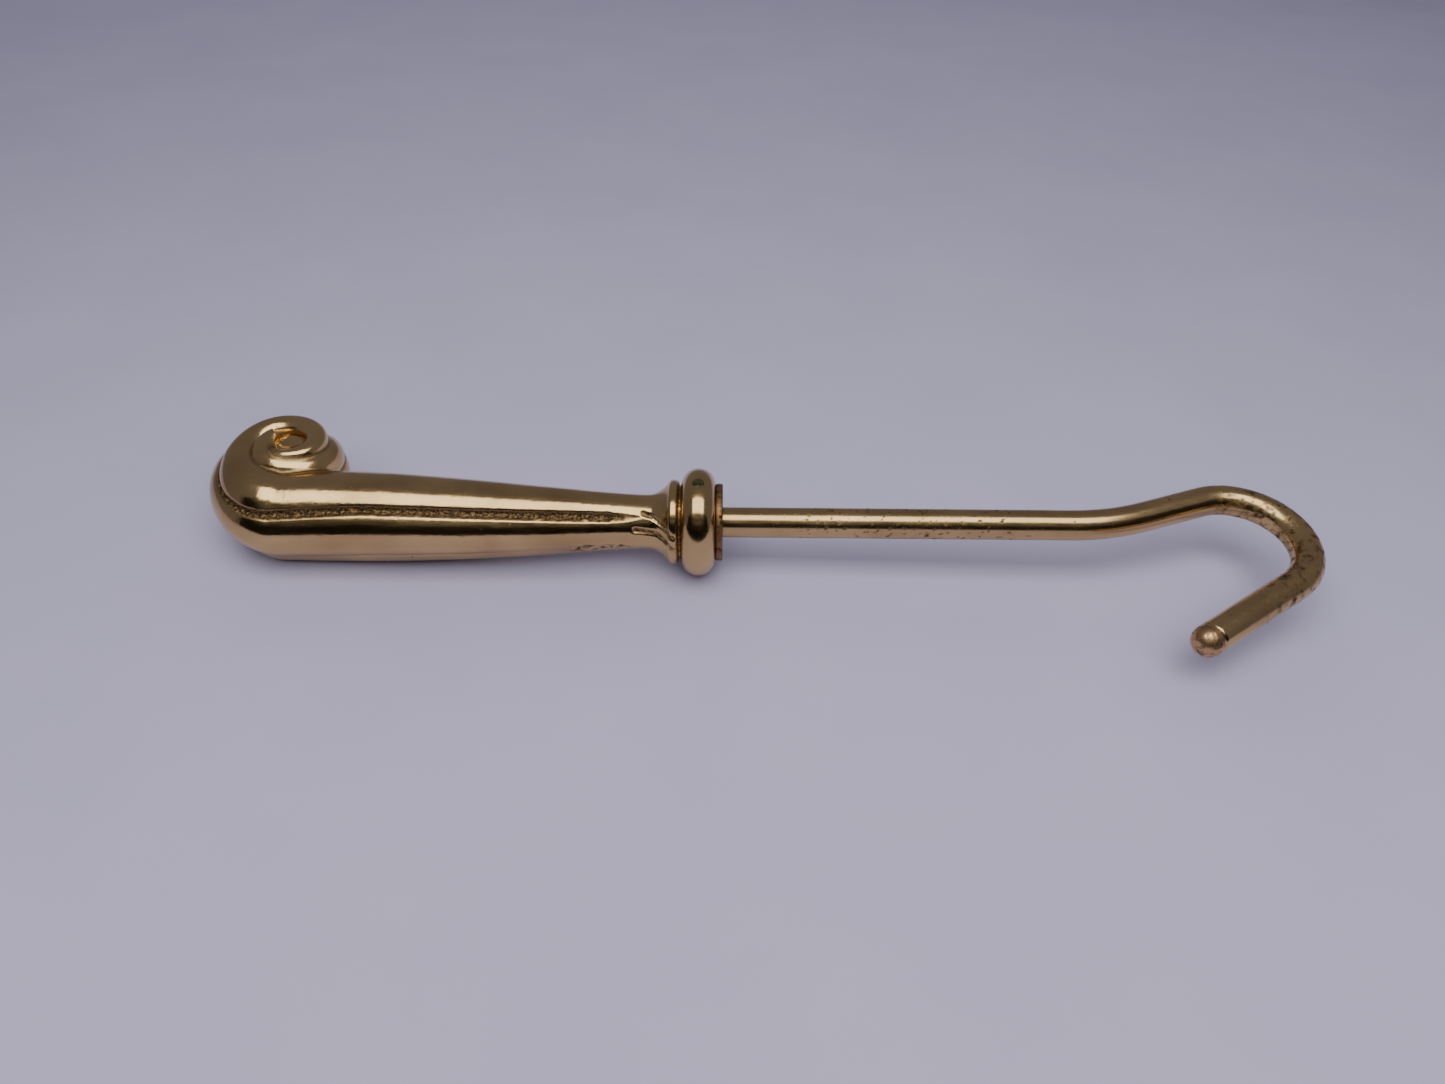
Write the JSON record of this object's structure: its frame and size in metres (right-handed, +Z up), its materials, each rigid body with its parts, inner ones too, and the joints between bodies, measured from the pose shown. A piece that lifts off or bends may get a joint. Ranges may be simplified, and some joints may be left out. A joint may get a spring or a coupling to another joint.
{
  "type": "fireplace hook",
  "caption": "Round brass rod bent into a hook, with a domed tip and a fluted cast handle that curls into a scroll.",
  "frame": {"origin": "centre of the whole tool's plan on the plane it lies on", "axes": "+X along the tool from the scroll towards the hook, +Z up from the plane it lies on; the hook's nose points to -Y and the scroll curls to +Y"},
  "size_m": [0.3468, 0.0866, 0.0353],
  "materials": {
    "cast_brass": "polished and lacquered, dark unpolished flutes, a few casting pits",
    "washer_brass": "unpolished, brown",
    "rod_brass": "polished, brown corrosion spots, heaviest at the bend",
    "tip_brass": "polished, a little pinker and duller than the rod",
    "pin_brass": "dark green-brown, flush with the bead"
  },
  "bodies": {
    "root": {"handle_casting": "cast_brass", "backing_washer": "washer_brass", "hook_rod": "rod_brass", "tip_cap": "tip_brass", "retaining_pin": "pin_brass"}
  },
  "joints": []
}
